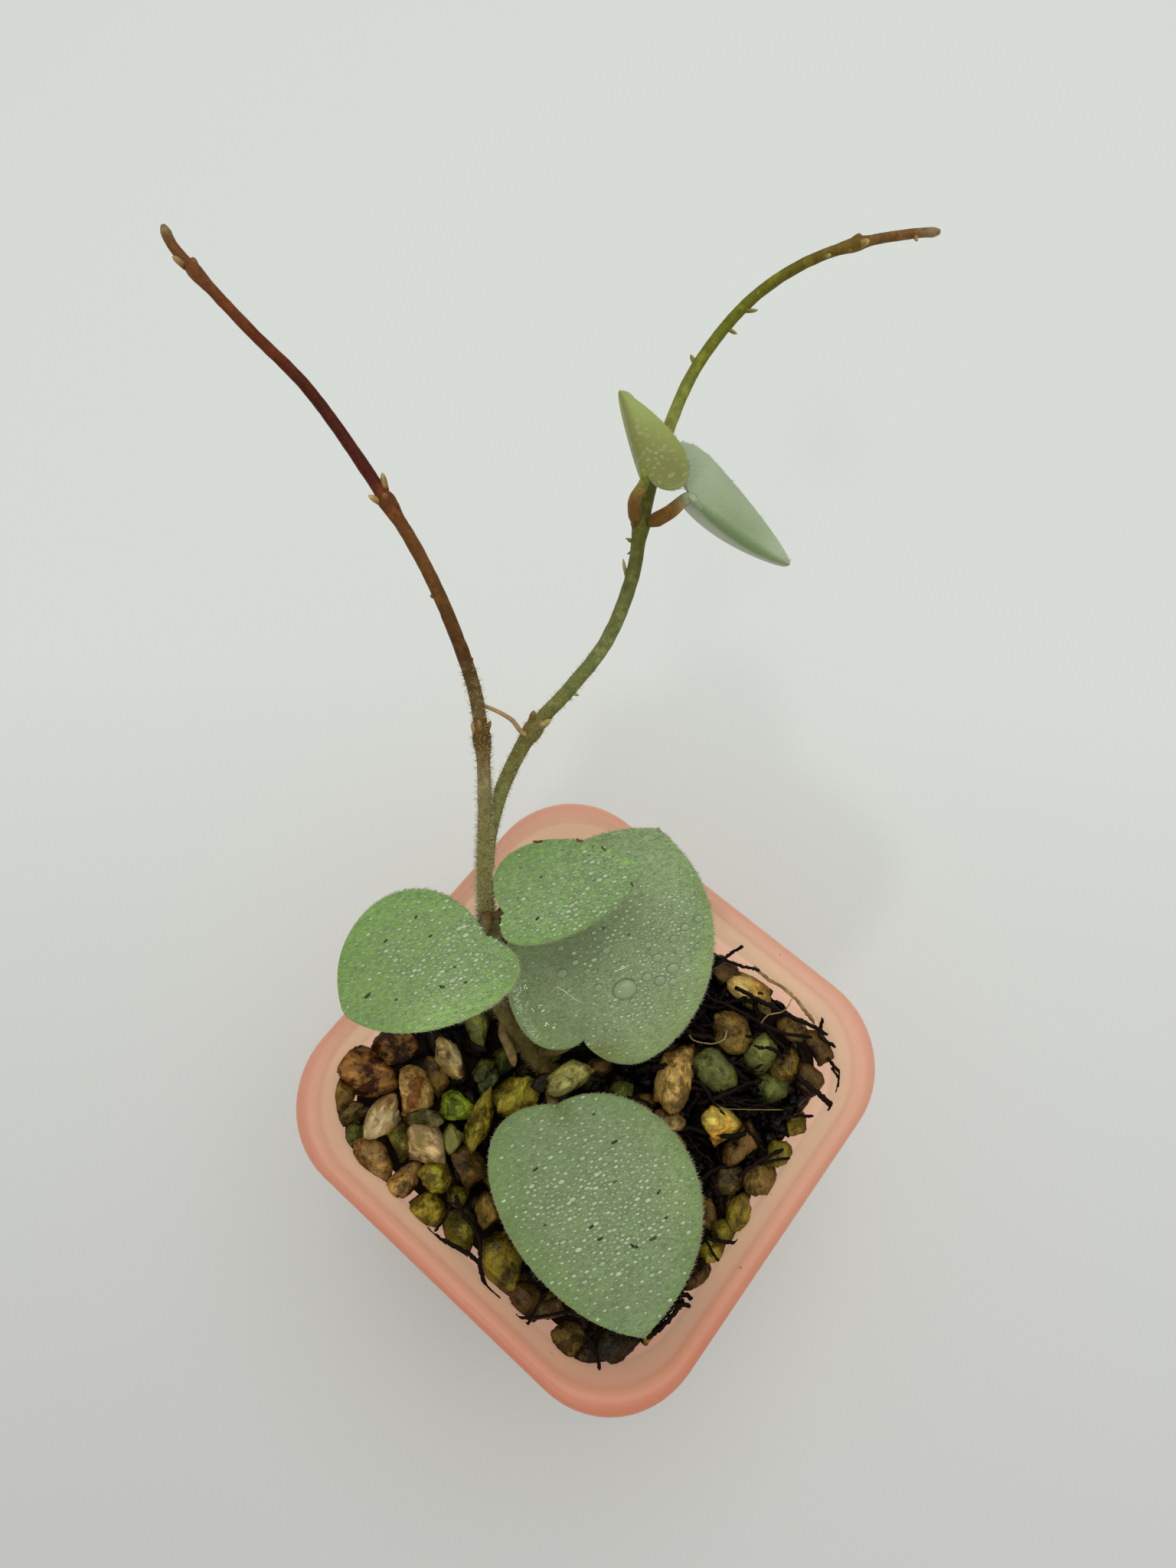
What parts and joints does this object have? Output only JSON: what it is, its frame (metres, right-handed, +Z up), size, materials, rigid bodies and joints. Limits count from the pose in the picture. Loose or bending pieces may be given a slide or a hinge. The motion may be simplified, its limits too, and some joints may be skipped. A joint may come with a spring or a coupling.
{
  "type": "potted climbing plant",
  "caption": "Young climbing hoya with downy heart-shaped leaves and long bare shoots, rooted in grit in a small rounded-square pot.",
  "frame": {"origin": "middle of the pot's foot, in the plane it stands on", "axes": "+Z up, +Y the way the two long shoots lean, +X to the right when the plant is looked down on with +Y away"},
  "size_m": [0.0827, 0.1195, 0.11],
  "materials": {
    "pot_plastic": "satin, slightly translucent salmon pink",
    "grit": "dull, mixed olive, brown, rust and cream grains",
    "stem": "dull green to red-brown bark, finely hairy near the root",
    "leaf": "grey-green, downy and wet with fine droplets",
    "leaf_young": "green, downy",
    "leaf_under": "pale smooth underside",
    "leaf_newest": "yellow-green, blotched"
  },
  "bodies": {
    "root": {"pot": "pot_plastic", "grit_bed": "grit", "vine_stem": "stem", "leaf_front": "leaf", "leaf_back": "leaf", "leaf_left": "leaf_young", "leaf_middle": "leaf_young", "leaf_upper_right": "leaf_under", "leaf_upper_left": "leaf_newest"}
  },
  "joints": []
}
